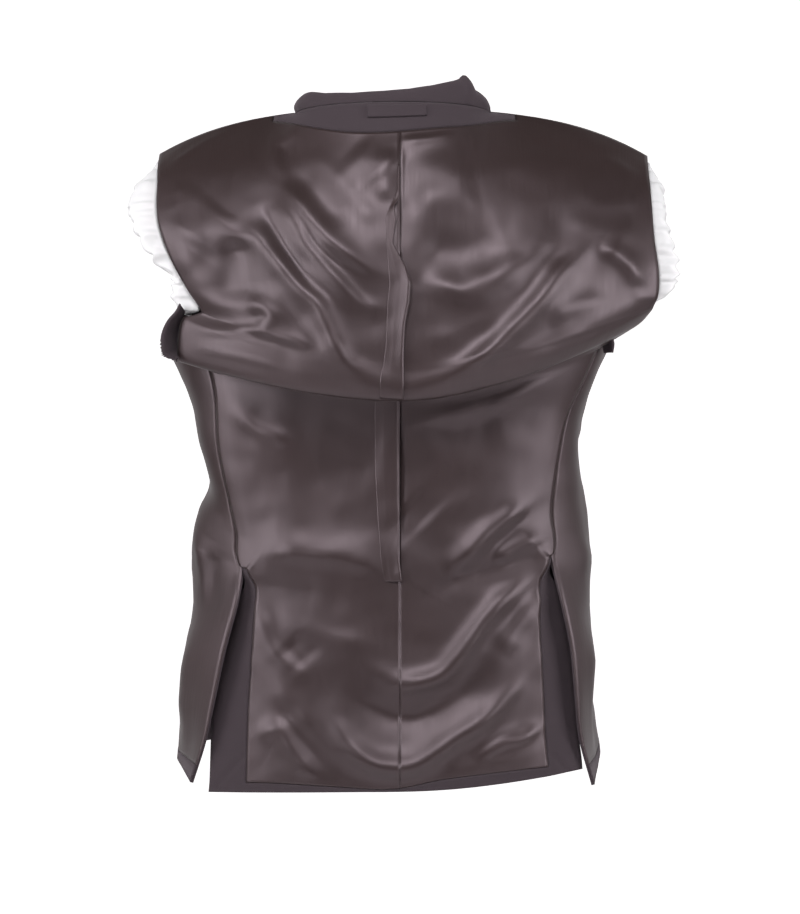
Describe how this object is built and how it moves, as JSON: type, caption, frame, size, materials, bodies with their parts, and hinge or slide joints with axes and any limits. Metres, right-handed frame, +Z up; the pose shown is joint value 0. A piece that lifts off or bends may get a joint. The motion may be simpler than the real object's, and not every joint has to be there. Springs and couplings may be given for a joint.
{
  "type": "suit jacket",
  "caption": "Men's suit jacket held up by the shoulders as if worn, turned inside out, with its lining outside, two side vents, and the sleeves left hanging within.",
  "frame": {"origin": "centre of the neck opening, level with the foot of the back neck facing, where the shoulders hold the jacket", "axes": "+Z up, -Y out of the back that the picture shows, +X towards the right of the picture"},
  "size_m": [0.5094, 0.2809, 0.6901],
  "materials": {
    "suit_wool": "matte fine wool twill",
    "body_lining": "smooth satin sheen",
    "sleeve_lining": "soft white satin"
  },
  "bodies": {
    "root": {"shell_back_left": "suit_wool", "shell_back_right": "suit_wool", "shell_front_left": "suit_wool", "shell_front_right": "suit_wool", "facing_back_neck": "suit_wool", "facing_front_left": "suit_wool", "facing_front_right": "suit_wool", "turn_up_back_left": "suit_wool", "turn_up_back_right": "suit_wool", "turn_up_front_left": "suit_wool", "turn_up_front_right": "suit_wool", "collar": "suit_wool", "lapel_left": "suit_wool", "lapel_right": "suit_wool", "hanger_loop": "suit_wool", "lining_back_left": "body_lining", "lining_back_right": "body_lining", "lining_front_left": "body_lining", "lining_front_right": "body_lining", "pleat_upper": "body_lining", "pleat_lower": "body_lining", "sleeve_left": "suit_wool", "sleeve_right": "suit_wool", "sleeve_lining_left": "sleeve_lining", "sleeve_lining_right": "sleeve_lining"}
  },
  "joints": []
}
